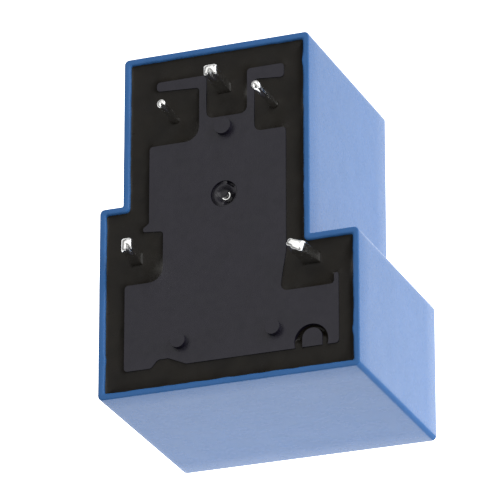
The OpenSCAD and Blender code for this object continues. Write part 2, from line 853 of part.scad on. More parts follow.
module armature_rivets() {
    color("#b8bab8")
        for (side = [-1, 1])
            translate([pattern_x + side * rivet_pitch / 2, armature_rivet_y, leaf_z])
                rivet(leaf_t + armature_t);
}

module com_rivets() {
    color("#b8bab8")
        for (side = [-1, 1])
            translate([pattern_x + side * rivet_pitch / 2, com_y + blade_t / 2, rivet_z])
                rotate([90, 0, 0])
                    rivet(blade_t + leaf_t + yoke_t);
}

module com_terminal() {
    plate_w = rivet_pitch + 2 * rivet_edge;
    plate_z = rivet_z - rivet_edge;
    color("#c9cacb")
        difference() {
            union() {
                translate([pattern_x, com_y, 0])
                    blade(com_blade_w, base_z - bite);
                translate([pattern_x - plate_w / 2, com_y - blade_t / 2, plate_z])
                    cube([plate_w, blade_t, base_z - plate_z]);
            }
            com_rivet_holes();
        }
}

module no_terminal() {
    outer_x = no_x - blade_t / 2;
    near_y = contact_y + strip_w / 2;
    far_y = contact_y - strip_w / 2;
    plate = [
        [no_y + shoulder_w / 2, base_z],
        [no_y - shoulder_w / 2, base_z],
        [far_y, no_strip_z + strip_w],
        [far_y, no_strip_z],
        [near_y, no_strip_z],
        [near_y, no_strip_z + strip_w / 2],
        [no_y + shoulder_w / 2, base_z - shoulder_w]
    ];
    color("#c9cacb")
        difference() {
            union() {
                translate([no_x, no_y, 0])
                    rotate([0, 0, 90])
                        blade(left_blade_w, base_z - bite);
                translate([outer_x, 0, 0])
                    rotate([90, 0, 90])
                        linear_extrude(blade_t)
                            polygon(plate);
                translate([0, 0, no_strip_z])
                    linear_extrude(strip_t)
                        contact_strip(outer_x);
            }
            shank_hole(no_strip_z);
        }
}

module no_contact() {
    color("#d9d9dc")
        translate([contact_x, contact_y, no_strip_z])
            mirror([0, 0, 1])
                contact_button(no_contact_h, strip_t);
}

module nc_terminal() {
    right_x = nc_x + shoulder_w / 2;
    color("#c9cacb")
        difference() {
            union() {
                translate([nc_x, nc_y, 0])
                    blade(right_blade_w, base_z - bite);
                translate([right_x - shoulder_w, nc_y - blade_t / 2, nc_strip_z])
                    cube([shoulder_w, blade_t, base_z - nc_strip_z]);
                translate([0, 0, nc_strip_z])
                    linear_extrude(strip_t) {
                        contact_strip(right_x);
                        translate([right_x - shoulder_w, contact_y])
                            square([shoulder_w, nc_y - contact_y]);
                    }
            }
            shank_hole(nc_strip_z);
        }
}

module nc_contact() {
    color("#d9d9dc")
        translate([contact_x, contact_y, nc_strip_z + strip_t])
            contact_button(nc_contact_h, strip_t);
}

// Square root of a coil pin, grown by a gap
module coil_root(gap, h) {
    linear_extrude(h)
        square(coil_root_w + 2 * gap, center = true);
}

// Coil pin at x, square inside the relay and round above the resin
module coil_pin(x) {
    color("#c9cacb")
        translate([x, coil_y, 0]) {
            translate([0, 0, post_z])
                coil_root(0, resin_z - post_z);
            rotate_extrude()
                polygon([
                    [0, resin_z - bite],
                    [coil_pin_d / 2, resin_z - bite],
                    [coil_pin_d / 2, tip_z - coil_tip_l],
                    [coil_tip_d / 2, tip_z],
                    [0, tip_z]
                ]);
        }
}

module coil_pin_left() {
    coil_pin(coil_left_x);
}

module coil_pin_right() {
    coil_pin(coil_right_x);
}

// Straight wire end from the winding to the solder on the post at x
module coil_lead(x) {
    run = [x - pattern_x, coil_y - core_y];
    start = winding_d / 2 + fit_gap;
    color("#b06a3a")
        translate([pattern_x, core_y, lead_z])
            rotate([0, 90, heading(run)])
                translate([0, 0, start])
                    cylinder(d = lead_d, h = norm(run) - start - solder_d / 2 - fit_gap, $fn = 24);
}

module coil_lead_left() {
    coil_lead(coil_left_x);
}

module coil_lead_right() {
    coil_lead(coil_right_x);
}

module coil_solder_joints() {
    color("#bfc1c2")
        for (x = [coil_left_x, coil_right_x])
            translate([x, coil_y, post_z])
                difference() {
                    cylinder(d = solder_d, h = coil_post_l);
                    translate([0, 0, -cut])
                        coil_root(fit_gap, coil_post_l + 2 * cut);
                }
}

cover();
base();
potting();
bobbin();
coil_winding();
core();
yoke();
armature();
contact_spring();
moving_contact();
armature_rivets();
com_rivets();
com_terminal();
no_terminal();
no_contact();
nc_terminal();
nc_contact();
coil_pin_left();
coil_pin_right();
coil_lead_left();
coil_lead_right();
coil_solder_joints();
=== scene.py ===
"""Looks of a sealed power relay that lies on its closed face with the pins up.

Lengths are millimetres until a mesh is made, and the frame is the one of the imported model.
"""

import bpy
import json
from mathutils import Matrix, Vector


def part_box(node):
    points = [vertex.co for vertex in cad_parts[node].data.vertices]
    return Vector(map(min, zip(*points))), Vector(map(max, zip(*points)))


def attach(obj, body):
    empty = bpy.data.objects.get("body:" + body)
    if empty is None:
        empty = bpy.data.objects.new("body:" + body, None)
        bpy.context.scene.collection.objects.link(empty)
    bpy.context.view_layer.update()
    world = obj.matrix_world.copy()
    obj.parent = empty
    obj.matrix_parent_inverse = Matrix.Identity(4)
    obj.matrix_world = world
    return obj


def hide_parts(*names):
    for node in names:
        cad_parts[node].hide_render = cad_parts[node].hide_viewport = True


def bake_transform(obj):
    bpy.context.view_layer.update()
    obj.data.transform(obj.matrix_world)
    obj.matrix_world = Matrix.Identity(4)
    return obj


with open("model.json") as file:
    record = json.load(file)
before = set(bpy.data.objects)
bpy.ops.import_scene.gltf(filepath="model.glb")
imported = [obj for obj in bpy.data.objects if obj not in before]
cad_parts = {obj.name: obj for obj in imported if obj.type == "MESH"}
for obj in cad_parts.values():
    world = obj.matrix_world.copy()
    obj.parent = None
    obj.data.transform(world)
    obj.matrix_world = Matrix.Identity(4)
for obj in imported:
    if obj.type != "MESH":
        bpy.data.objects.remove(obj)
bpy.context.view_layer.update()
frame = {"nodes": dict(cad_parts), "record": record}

import json
import math

import bmesh
import bpy
import numpy as np
from mathutils import Matrix, Vector
from mathutils.geometry import delaunay_2d_cdt

MM = 0.001


def box_mm(node):
    """Lowest and highest corner of a node, in millimetres."""
    low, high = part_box(node)
    return np.array(low) / MM, np.array(high) / MM


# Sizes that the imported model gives
case_low, case_high = box_mm("cover")
resin_low = box_mm("potting")[0]
base_low = box_mm("base")[0]
core_low, core_high = box_mm("core")
mounts = {m["name"]: np.array(m["pos_m"]) / MM for m in frame["record"]["mounts"]}
HINGE = np.array(frame["record"]["behaviour"]["joints"][0]["pos_m"]) / MM
CASE_W = case_high[0] - case_low[0]
CASE_L = case_high[1] - case_low[1]
RIM_Z = case_high[2]
CASE_WALL = resin_low[0] - case_low[0]
TIP_Z = box_mm("com_terminal")[1][2]
COIL_PINS = {"left": mounts["coil_pin_left"], "right": mounts["coil_pin_right"]}
COM, NO, NC = mounts["com_blade"], mounts["no_blade"], mounts["nc_blade"]
PATTERN_X = COM[0]

# Case
CASE_FLOOR = 1.0
# Width and length of the two corners that the T outline leaves out
LEFT_STEP = (2.4, 15.4)
RIGHT_STEP = (4.9, 21.0)
CORNER_R = 0.5
INSIDE_R = 0.15
FACE_R = 0.2
LEAST_R = 0.2
RIM_OUTER_R = 0.15
RIM_INNER_R = 0.25

# Base and resin
BASE_FLOOR = 1.7
LEDGE_Z = base_low[2] + BASE_FLOOR
PLATEAU_Z = RIM_Z - 0.3
RESIN_Z = RIM_Z - 0.65
PLATEAU_R = 0.35
BAY_R = 0.7
# Distance from the case's outline to the plateau
CHANNEL = {
    "left": 2.6,
    "right": 2.5,
    "narrow_end": 2.8,
    "wide_left": 2.55,
    "wide_right": 2.15,
    "wide_end": 2.65,
}
# Arms of the plateau at the narrow end: width, reach past the left and right coil pin, and taper
ARM_W = 1.2
ARM_REACH = (1.9, 1.05)
ARM_TAPER = 0.25
# Bays of the plateau round the pins: shift of the bays at the narrow end, width and depth of the common
# one, reach and depth of the coil pins' ones, and distances from a side blade to the walls of its own
BAY_SHIFT = 0.25
COM_BAY = (4.2, 3.0)
COIL_BAY = (2.25, 2.55)
LEFT_BAY = {"inner": 2.65, "up": 2.65, "down": 2.65, "slope": 0.2, "r": 1.4}
LEFT_LIP = {"w": 0.6, "h": 0.8, "drop": 0.4}
RIGHT_BAY = {"inner": 3.25, "up": 1.2, "down": 2.9, "lip_w": 0.45, "lip_h": 1.1}
# Notch in the plateau's wide end: middle, width, depth, and the run of its two slopes
RUN_IN = {"x": -6.1, "w": 3.6, "depth": 0.8, "rise": 0.7, "fall": 1.8}
VENT = np.array([CASE_W / 2 - 4.9, -CASE_L / 2 + 3.2])
VENT_MOAT_R = 1.7
VENT_POST_R = 1.0
VENT_POST = VENT + (0.1, 0.3)
CORE_AT = (core_low[:2] + core_high[:2]) / 2
CORE_RECESS_R = 1.35
CORE_TIP_R = 0.6
CORE_TIP_SINK = 0.4
# Swaged edge of the core's tip: inset, and drop below the top
CORE_SWAGE = [(0.0, 0.3), (0.08, 0.12), (0.16, 0.0), (0.25, 0.01), (0.34, 0.1)]
CORE_DIMPLE = 0.18
POLE_R = 3.75
POLE_EDGE = 0.1
SHAFT_R = 2.5
STAKE_R = 1.3
YOKE_T = 1.5

# Pins
COIL_PIN_R = 0.4
COIL_ROOT = 0.45
BLADE_EDGE_R = 0.12
BLADES = {
    "com_terminal": {"at": COM, "section": (1.25, 1.0)},
    "no_terminal": {"at": NO, "section": (1.0, 1.25)},
    "nc_terminal": {"at": NC, "section": (1.6, 1.0)},
}
# How a pin has been bent by handling: power of the bend along its length, and by pin the shift of its tip
# along X and Y and its turn in degrees
LEAN_POWER = 1.4
LEAN = {
    "com_terminal": (0.0, 0.3, 0.0),
    "no_terminal": (0.48, -0.03, 0.0),
    "nc_terminal": (-0.38, 0.0, -23.0),
    "coil_pin_left": (0.13, 0.03, 0.0),
    "coil_pin_right": (-0.42, 0.47, 0.0),
}
# Nick that the cutter left in a tip: its height, its reach past the pin's axis, and by pin the direction in
# degrees, half width and share of the depth
NICK_H = 1.3
NICK_PAST = 0.1
NICK = {
    "com_terminal": (-80.0, 0.38, 0.95),
    "no_terminal": (-65.0, 0.3, 0.95),
    "nc_terminal": (-140.0, 0.35, 0.45),
    "coil_pin_left": (-60.0, 0.2, 0.8),
    "coil_pin_right": (-75.0, 0.22, 0.95),
}


# Outlines
def corner_arc(before, corner, after, steps):
    """Points of the arc that rounds a corner given as (x, y, radius)."""
    point, radius = np.array(corner[:2]), corner[2]
    back, ahead = (np.array(p[:2]) - point for p in (before, after))
    back, ahead = back / np.linalg.norm(back), ahead / np.linalg.norm(ahead)
    half = math.acos(np.clip(back @ ahead, -1, 1)) / 2
    middle = (back + ahead) / np.linalg.norm(back + ahead)
    centre = point + middle * radius / math.sin(half)
    start, end = (point + side * radius / math.tan(half) - centre for side in (back, ahead))
    first = math.atan2(start[1], start[0])
    sweep = (math.atan2(end[1], end[0]) - first + math.pi) % (2 * math.pi) - math.pi
    angles = first + sweep * np.linspace(0, 1, steps + 1)
    return centre + radius * np.column_stack([np.cos(angles), np.sin(angles)])


def rounded(corners, steps=6):
    """One arc for each corner of an outline."""
    n = len(corners)
    return [corner_arc(corners[i - 1], corners[i], corners[(i + 1) % n], steps) for i in range(n)]


def joined(arcs, runs):
    """Arcs joined to one loop, with each straight run between them cut into a number of pieces."""
    points = []
    for i, arc in enumerate(arcs):
        after = arcs[(i + 1) % len(arcs)][0]
        share = np.arange(1, runs[i])[:, None] / runs[i]
        points += [arc, arc[-1] + share * (after - arc[-1])]
    return np.vstack(points)


def run_counts(arcs, spacing):
    """How many pieces each straight run of an outline takes at that spacing."""
    ends = zip(arcs, arcs[1:] + arcs[:1])
    return [max(1, round(np.linalg.norm(b[0] - a[-1]) / spacing)) for a, b in ends]


def case_corners(inset):
    """Corners of the case's outline, set in by a distance."""
    left, right = -CASE_W / 2, CASE_W / 2
    low, high = -CASE_L / 2 + inset, CASE_L / 2 - inset
    outer_r = max(CORNER_R - inset, LEAST_R)
    inner_r = INSIDE_R + inset / 2
    narrow_left, narrow_right = left + LEFT_STEP[0] + inset, right - RIGHT_STEP[0] - inset
    left_y, right_y = CASE_L / 2 - LEFT_STEP[1] - inset, CASE_L / 2 - RIGHT_STEP[1] - inset
    return [
        (left + inset, low, outer_r),
        (right - inset, low, outer_r),
        (right - inset, right_y, outer_r),
        (narrow_right, right_y, inner_r),
        (narrow_right, high, outer_r),
        (narrow_left, high, outer_r),
        (narrow_left, left_y, inner_r),
        (left + inset, left_y, outer_r),
    ]


# Spacing of the points along an outline
OUTLINE_SPACING = 0.4
CASE_RUNS = run_counts(rounded(case_corners(0)), OUTLINE_SPACING)


def case_outline(inset):
    """Outline of the case, set in by a distance, always with the same number of points."""
    return joined(rounded(case_corners(inset)), CASE_RUNS)


def plateau_corners():
    """Corners of the raised part of the base, with its bays and arms."""
    left = -CASE_W / 2 + LEFT_STEP[0] + CHANNEL["left"]
    right = CASE_W / 2 - RIGHT_STEP[0] - CHANNEL["right"]
    wide_left, wide_right = -CASE_W / 2 + CHANNEL["wide_left"], CASE_W / 2 - CHANNEL["wide_right"]
    end_y, tip_y = -CASE_L / 2 + CHANNEL["wide_end"], CASE_L / 2 - CHANNEL["narrow_end"]
    arm_y = tip_y - ARM_W
    coil_left, coil_right = COIL_PINS["left"], COIL_PINS["right"]
    neck_left, neck_right = coil_left[0] + BAY_SHIFT + COIL_BAY[0], coil_right[0] + BAY_SHIFT - COIL_BAY[0]
    arm_left, arm_right = coil_left[0] - ARM_REACH[0], coil_right[0] + ARM_REACH[1]
    com_left, com_right = (PATTERN_X + BAY_SHIFT + side * COM_BAY[0] / 2 for side in (-1, 1))
    com_floor, coil_floor = COM[1] - COM_BAY[1], coil_left[1] - COIL_BAY[1]
    left_bay_x, left_bay_floor = NO[0] + LEFT_BAY["inner"], NO[1] - LEFT_BAY["down"]
    left_bay_top = NO[1] + LEFT_BAY["up"]
    left_lip_x, left_lip_y = left - LEFT_LIP["w"], left_bay_top + LEFT_LIP["h"]
    right_bay_x, right_bay_floor = NC[0] - RIGHT_BAY["inner"], NC[1] - RIGHT_BAY["down"]
    right_bay_top = NC[1] + RIGHT_BAY["up"]
    lip_x, lip_y = wide_right - RIGHT_BAY["lip_w"], right_bay_floor + RIGHT_BAY["lip_h"]
    run_left, run_right = RUN_IN["x"] - RUN_IN["w"] / 2, RUN_IN["x"] + RUN_IN["w"] / 2
    run_y = end_y + RUN_IN["depth"]
    return [
        (wide_left, end_y, PLATEAU_R),
        (run_left, end_y, PLATEAU_R),
        (run_left + RUN_IN["rise"], run_y, BAY_R),
        (run_right - RUN_IN["fall"], run_y, BAY_R),
        (run_right, end_y, PLATEAU_R),
        (wide_right, end_y, PLATEAU_R),
        (wide_right, lip_y, LEAST_R),
        (lip_x, lip_y, LEAST_R),
        (lip_x, right_bay_floor, PLATEAU_R),
        (right_bay_x, right_bay_floor, BAY_R),
        (right, right_bay_top, PLATEAU_R),
        (right, coil_floor, PLATEAU_R),
        (neck_right, coil_floor, BAY_R),
        (neck_right, arm_y, PLATEAU_R),
        (arm_right, arm_y - ARM_TAPER, PLATEAU_R),
        (arm_right, tip_y, PLATEAU_R),
        (com_right, tip_y, PLATEAU_R),
        (com_right, com_floor, BAY_R),
        (com_left, com_floor, BAY_R),
        (com_left, tip_y, PLATEAU_R),
        (arm_left, tip_y, PLATEAU_R),
        (arm_left, arm_y + ARM_TAPER, PLATEAU_R),
        (neck_left, arm_y, PLATEAU_R),
        (neck_left, coil_floor, LEFT_BAY["r"]),
        (left, coil_floor, PLATEAU_R),
        (left, left_lip_y, PLATEAU_R),
        (left_lip_x, left_lip_y - LEFT_LIP["drop"], LEAST_R),
        (left_lip_x, left_bay_top, LEAST_R),
        (left_bay_x, left_bay_top - LEFT_BAY["slope"], PLATEAU_R),
        (left_bay_x, left_bay_floor, LEFT_BAY["r"]),
        (wide_left, left_bay_floor, PLATEAU_R),
    ]


def circle(centre, radius, steps):
    """Points of a circle, anticlockwise."""
    angles = 2 * math.pi * np.arange(steps) / steps
    return np.array(centre) + radius * np.column_stack([np.cos(angles), np.sin(angles)])


# Distance within which a point lies on a line
TOUCH = 1e-6
MOAT_STEPS = 32


def plateau_outline():
    """Outline of the plateau, with the moat of the vent post cut into its wide end."""
    arcs = rounded(plateau_corners(), 5)
    points = joined(arcs, run_counts(arcs, OUTLINE_SPACING))
    end_y = -CASE_L / 2 + CHANNEL["wide_end"]
    half = math.acos((end_y - VENT[1]) / VENT_MOAT_R)
    reach = VENT_MOAT_R * math.sin(half)
    angles = np.linspace(math.pi / 2 + half, math.pi / 2 - half, MOAT_STEPS + 1)
    moat = VENT + VENT_MOAT_R * np.column_stack([np.cos(angles), np.sin(angles)])
    near_moat = abs(points[:, 0] - VENT[0]) < reach + OUTLINE_SPACING / 2
    kept = points[~((abs(points[:, 1] - end_y) < TOUCH) & near_moat)]
    after = np.flatnonzero((abs(kept[:, 1] - end_y) < TOUCH) & (kept[:, 0] < VENT[0]))[-1] + 1
    return np.vstack([kept[:after], moat, kept[after:]])


def vent_post_outline():
    """Outline of the arched vent post, flush with the plateau's wide end."""
    left, right = VENT_POST[0] - VENT_POST_R, VENT_POST[0] + VENT_POST_R
    low, high = -CASE_L / 2 + CHANNEL["wide_end"], VENT_POST[1]
    down = np.linspace(high, low, 5)[1:]
    arch = circle(VENT_POST, VENT_POST_R, 48)[:25]
    foot = np.linspace(left, right, 9)[1:-1]
    left_side = np.column_stack([np.full_like(down, left), down])
    right_side = np.column_stack([np.full_like(down, right), down[::-1]])
    return np.vstack([arch, left_side, np.column_stack([foot, np.full_like(foot, low)]), right_side])


def shifted(loop, distance):
    """A loop of points moved inwards by a distance, one for each point."""
    along = np.roll(loop, -1, axis=0) - np.roll(loop, 1, axis=0)
    along /= np.linalg.norm(along, axis=1)[:, None]
    return loop + np.column_stack([-along[:, 1], along[:, 0]]) * distance[:, None]


def inside(loop, points):
    """Which points lie inside a loop."""
    x, y = points[:, 0][:, None], points[:, 1][:, None]
    ax, ay = loop.T
    bx, by = np.roll(loop, -1, axis=0).T
    crosses = (ay > y) != (by > y)
    rise = np.where(by == ay, 1, by - ay)
    return (crosses & (x < ax + (y - ay) * (bx - ax) / rise)).sum(axis=1) % 2 == 1


def distance(loop, points):
    """Distance from each point to a loop."""
    a, b = loop, np.roll(loop, -1, axis=0)
    along = b - a
    gap = points[:, None, :] - a
    share = np.clip((gap * along).sum(2) / (along**2).sum(1), 0, 1)
    return np.linalg.norm(gap - share[..., None] * along, axis=2).min(axis=1)


def wobble(points, length, seed):
    """Smooth unevenness between about -1 and 1 over a surface, with bumps of that length."""
    points = np.asarray(points)[:, :2] * 2 * math.pi / length
    turns = seed + np.array([0.3, 2.1, 3.9, 5.2])
    waves = []
    for k, turn in enumerate(turns):
        ahead = [math.cos(turn), math.sin(turn)]
        waves.append(np.sin(points @ ahead * (0.7 + 0.23 * k) + 5 * turn))
    return np.mean(waves, axis=0) * 1.6


def uneven(points, waves):
    """Unevenness made of waves given as (depth, length, seed)."""
    return sum(depth * wobble(points, length, seed) for depth, length, seed in waves)


def eased(values, low, high):
    """Smooth rise from 0 to 1 between two values."""
    share = np.clip((np.asarray(values) - low) / (high - low), 0, 1)
    return share * share * (3 - 2 * share)


def sector(turn, centre, half, soft):
    """1 within a sector of directions in degrees, falling smoothly to 0 beside it."""
    return 1 - eased(abs((turn - centre + 180) % 360 - 180), half, half + soft)


# Meshes
# Faces above this area, in square millimetres, are shaded flat
FLAT_AREA = 1.5


def new_piece(name, points, faces, replaced, sharp=40.0, body="housing"):
    """A piece of the relay from points in millimetres."""
    mesh = bpy.data.meshes.new(name)
    mesh.from_pydata([tuple(p) for p in np.asarray(points) * MM], [], faces)
    bm = bmesh.new()
    bm.from_mesh(mesh)
    bmesh.ops.recalc_face_normals(bm, faces=bm.faces)
    bm.to_mesh(mesh)
    bm.free()
    return finish_piece(name, mesh, replaced, sharp, body)


def finish_piece(name, mesh, replaced, sharp, body="housing"):
    """Shade a mesh, link it and let it ride on a body in the place of a node."""
    mesh.validate()
    mesh.shade_smooth()
    mesh.set_sharp_from_angle(angle=math.radians(sharp))
    for face in mesh.polygons:
        face.use_smooth = face.area < FLAT_AREA * MM**2
    piece = bpy.data.objects.new(name, mesh)
    bpy.context.scene.collection.objects.link(piece)
    if body:
        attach(piece, body)
    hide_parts(replaced)
    return piece


def loft(rings, first=0, closed=False):
    """Quads between rings of equal length, counted from a first point, with caps unless it is closed."""
    n, m = len(rings[0]), len(rings)
    faces = []
    for k in range(m if closed else m - 1):
        for i in range(n):
            j = (i + 1) % n
            low, high = first + k * n, first + (k + 1) % m * n
            faces.append((low + i, low + j, high + j, high + i))
    if not closed:
        faces.append(tuple(range(first + n - 1, first - 1, -1)))
        faces.append(tuple(range(first + (m - 1) * n, first + m * n)))
    return faces


# Radius at which a turned shape is closed round its axis
AXIS_R = 0.02


def lathe(profile, centre, steps=64):
    """Rings of a turned shape from (radius, height) pairs."""
    rings = []
    for radius, height in profile:
        ring = circle(centre, radius, steps)
        rings.append(np.column_stack([ring, np.full(steps, height)]))
    return rings


def turned(name, node, profile, centres, lying=False, closed=False, body="housing"):
    """Like turned shapes in one piece, upright at (x, y) or lying along Y at (x, z)."""
    points, faces = [], []
    for centre in centres:
        rings = lathe(profile, centre)
        if lying:
            rings = [ring[:, [0, 2, 1]] for ring in rings]
        faces += loft(rings, len(points) * len(rings) * len(rings[0]), closed)
        points.append(np.vstack(rings))
    return new_piece(name, np.vstack(points), faces, node, sharp=35.0, body=body)


def cad_copy(node):
    """Mesh data of a node, with its flat faces whole again."""
    bm = bmesh.new()
    bm.from_mesh(frame["nodes"][node].data)
    bmesh.ops.remove_doubles(bm, verts=bm.verts, dist=0.001 * MM)
    bmesh.ops.dissolve_limit(
        bm, angle_limit=math.radians(1), verts=bm.verts, edges=bm.edges, delimit={"NORMAL"}
    )
    return bm


def break_edges(bm, edge, sharp=35.0):
    """Round the sharp edges of mesh data."""
    limit = math.radians(sharp)
    edges = [e for e in bm.edges if len(e.link_faces) == 2 and e.calc_face_angle(0) > limit]
    bmesh.ops.bevel(
        bm, geom=edges, offset=edge * MM, offset_type="OFFSET", segments=2, profile=0.5,
        affect="EDGES", clamp_overlap=True,
    )


def slice_mesh(bm, point, normal, keep_below=False):
    """Cut mesh data by a plane, and close it there if only the part below is kept."""
    geom = list(bm.verts) + list(bm.edges) + list(bm.faces)
    cut = bmesh.ops.bisect_plane(
        bm, geom=geom, plane_co=Vector(point) * MM, plane_no=normal, dist=1e-7, clear_outer=keep_below
    )
    if keep_below:
        rim = [e for e in cut["geom_cut"] if isinstance(e, bmesh.types.BMEdge)]
        bmesh.ops.holes_fill(bm, edges=rim)


def softened(node, name, edge, body="housing", cuts=()):
    """Copy of a node with its sharp edges broken, cut by planes given as (point, normal)."""
    bm = cad_copy(node)
    break_edges(bm, edge)
    for point, normal in cuts:
        slice_mesh(bm, point, normal)
    mesh = bpy.data.meshes.new(name)
    bm.to_mesh(mesh)
    bm.free()
    return finish_piece(name, mesh, node, sharp=30.0, body=body)


# Materials
class Finish:
    """Principled material whose colour, gloss and relief vary with noise in object space."""

    def __init__(self, name, colour, roughness, metallic=0.0, specular=0.5):
        self.material = bpy.data.materials.new(name)
        self.material.use_nodes = True
        self.tree = self.material.node_tree
        self.shader = self.tree.nodes["Principled BSDF"]
        self.shader.inputs["Base Color"].default_value = (*colour, 1)
        self.shader.inputs["Roughness"].default_value = roughness
        self.shader.inputs["Metallic"].default_value = metallic
        self.shader.inputs["Specular IOR Level"].default_value = specular
        self.place = self.tree.nodes.new("ShaderNodeTexCoord").outputs["Object"]
        self.last_relief = None

    def noise(self, size, detail=2.0, seed=0.0, stretch=(1, 1, 1)):
        """Noise with features of about that size, longer along an axis with a stretch above 1."""
        mapping = self.tree.nodes.new("ShaderNodeMapping")
        mapping.inputs["Location"].default_value = (seed, seed, seed)
        mapping.inputs["Scale"].default_value = [1 / (size * MM * s) for s in stretch]
        texture = self.tree.nodes.new("ShaderNodeTexNoise")
        texture.inputs["Scale"].default_value = 1
        texture.inputs["Detail"].default_value = detail
        self.tree.links.new(self.place, mapping.inputs["Vector"])
        self.tree.links.new(mapping.outputs["Vector"], texture.inputs["Vector"])
        return texture.outputs["Fac"]

    def tint(self, height, low, high, start=0.3, end=0.7):
        """Vary the base colour from low to high with a height."""
        ramp = self.tree.nodes.new("ShaderNodeValToRGB")
        for stop, position, colour in zip(ramp.color_ramp.elements, (start, end), (low, high)):
            stop.position = position
            stop.color = (*colour, 1)
        self.tree.links.new(height, ramp.inputs["Fac"])
        self.tree.links.new(ramp.outputs["Color"], self.shader.inputs["Base Color"])
        return self

    def gloss(self, height, low, high):
        """Vary the roughness."""
        ranged = self.tree.nodes.new("ShaderNodeMapRange")
        for socket, value in (("From Min", 0.3), ("From Max", 0.7), ("To Min", low), ("To Max", high)):
            ranged.inputs[socket].default_value = value
        self.tree.links.new(height, ranged.inputs["Value"])
        self.tree.links.new(ranged.outputs["Result"], self.shader.inputs["Roughness"])
        return self

    def relief(self, height, depth):
        """Add bumps of a depth in millimetres."""
        bump = self.tree.nodes.new("ShaderNodeBump")
        bump.inputs["Distance"].default_value = depth * MM
        self.tree.links.new(height, bump.inputs["Height"])
        if self.last_relief:
            self.tree.links.new(self.last_relief, bump.inputs["Normal"])
        self.last_relief = bump.outputs["Normal"]
        self.tree.links.new(self.last_relief, self.shader.inputs["Normal"])
        return self

    def glow(self, middle, reach, start, end):
        """Let the emission fade from start in a middle to end at a reach in millimetres."""
        gap = self.tree.nodes.new("ShaderNodeVectorMath")
        gap.operation = "DISTANCE"
        gap.inputs[1].default_value = [v * MM for v in middle]
        ranged = self.tree.nodes.new("ShaderNodeMapRange")
        for socket, value in (("From Max", reach * MM), ("To Min", start), ("To Max", end)):
            ranged.inputs[socket].default_value = value
        self.tree.links.new(self.place, gap.inputs[0])
        self.tree.links.new(gap.outputs["Value"], ranged.inputs["Value"])
        self.tree.links.new(ranged.outputs["Result"], self.shader.inputs["Emission Strength"])
        return self

    def wear(self, piece):
        """Give the finish to a piece."""
        piece.data.materials.clear()
        piece.data.materials.append(self.material)


def cover_finish(name, roughness, specular):
    """Blue plastic with a fine moulded grain."""
    finish = Finish(name, (0.0245, 0.092, 0.245), roughness, specular=specular)
    finish.tint(finish.noise(2.5, 3), (0.023, 0.089, 0.237), (0.026, 0.095, 0.253))
    finish.gloss(finish.noise(1.2, 3, 4.0), roughness - 0.02, roughness + 0.02)
    finish.relief(finish.noise(6.0, 1, 9.0), 0.03)
    return finish.relief(finish.noise(0.11, 2, 2.0), 0.006)


def base_finish():
    """Satin dark grey plastic with a spark-eroded grain."""
    finish = Finish("base_plastic", (0.006, 0.005, 0.0105), 0.38, specular=0.32)
    finish.tint(finish.noise(1.6, 4), (0.005, 0.0042, 0.0092), (0.007, 0.0058, 0.0118))
    finish.gloss(finish.noise(0.8, 2, 3.0), 0.33, 0.44)
    return finish.relief(finish.noise(0.14, 2, 5.0), 0.012)


def resin_finish():
    """Cured black resin with a brown cast and a smooth, slightly wavy skin."""
    finish = Finish("resin", (0.006, 0.005, 0.0035), 0.34, specular=0.13)
    finish.tint(finish.noise(2.2, 3, 1.0), (0.005, 0.004, 0.003), (0.008, 0.0065, 0.0045))
    finish.gloss(finish.noise(1.1, 2, 6.0), 0.26, 0.44)
    return finish.relief(finish.noise(1.4, 2, 8.0), 0.03)


def seal_finish():
    """The resin's dull skin over the core's end."""
    finish = Finish("seal_resin", (0.008, 0.007, 0.011), 0.45, specular=0.32)
    finish.tint(finish.noise(0.5, 3, 1.0), (0.005, 0.0045, 0.0075), (0.010, 0.009, 0.0135))
    finish.gloss(finish.noise(0.3, 2, 6.0), 0.34, 0.55)
    return finish.relief(finish.noise(0.35, 3, 8.0), 0.05)


def tin_finish(name, colour):
    """Hot-dipped tin: bright, with a slightly rippled skin and duller patches."""
    finish = Finish(name, colour, 0.16, metallic=1.0)
    finish.tint(finish.noise(0.5, 3, 2.0), [0.9 * c for c in colour], colour)
    finish.gloss(finish.noise(0.35, 3, 7.0), 0.1, 0.26)
    finish.relief(finish.noise(0.7, 1, 3.0, (1, 1, 2.5)), 0.03)
    return finish.relief(finish.noise(0.12, 2, 1.0), 0.004)


def metal_finish(name, colour, roughness, stretch=(1, 1, 1)):
    """Plated or rolled sheet metal with fine streaks."""
    finish = Finish(name, colour, roughness, metallic=1.0)
    streaks = finish.noise(0.12, 3, 4.0, stretch)
    finish.tint(streaks, [0.86 * c for c in colour], colour)
    finish.gloss(finish.noise(0.6, 2, 1.0), 0.8 * roughness, 1.25 * roughness)
    return finish.relief(streaks, 0.004)


def bobbin_finish():
    """Natural moulded plastic, slightly cloudy."""
    finish = Finish("bobbin_plastic", (0.78, 0.74, 0.64), 0.45)
    finish.tint(finish.noise(1.8, 3), (0.74, 0.70, 0.60), (0.80, 0.77, 0.68))
    return finish.relief(finish.noise(0.15, 2, 2.0), 0.006)


def wire_finish():
    """Enamelled copper, with a clear coat over the metal."""
    finish = Finish("enamelled_wire", (0.52, 0.19, 0.08), 0.3, metallic=0.9)
    finish.shader.inputs["Coat Weight"].default_value = 0.6
    finish.shader.inputs["Coat Roughness"].default_value = 0.15
    finish.tint(finish.noise(0.4, 3), (0.42, 0.14, 0.055), (0.58, 0.23, 0.10))
    return finish.relief(finish.noise(0.1, 2, 3.0), 0.004)


# Pieces that show
# Least slope of an edge's face against both walls where it is rubbed
RUBBED_SLOPE = 0.3
# Small burrs on the inner edge of the rim: place and reach, and the width of each
RIM_LUMPS = [(7.65, 14.5, 0.15), (7.65, 1.5, 0.07), (12.55, -13.8, 0.15), (-12.55, -13.5, 0.1)]
LUMP_W = 0.55
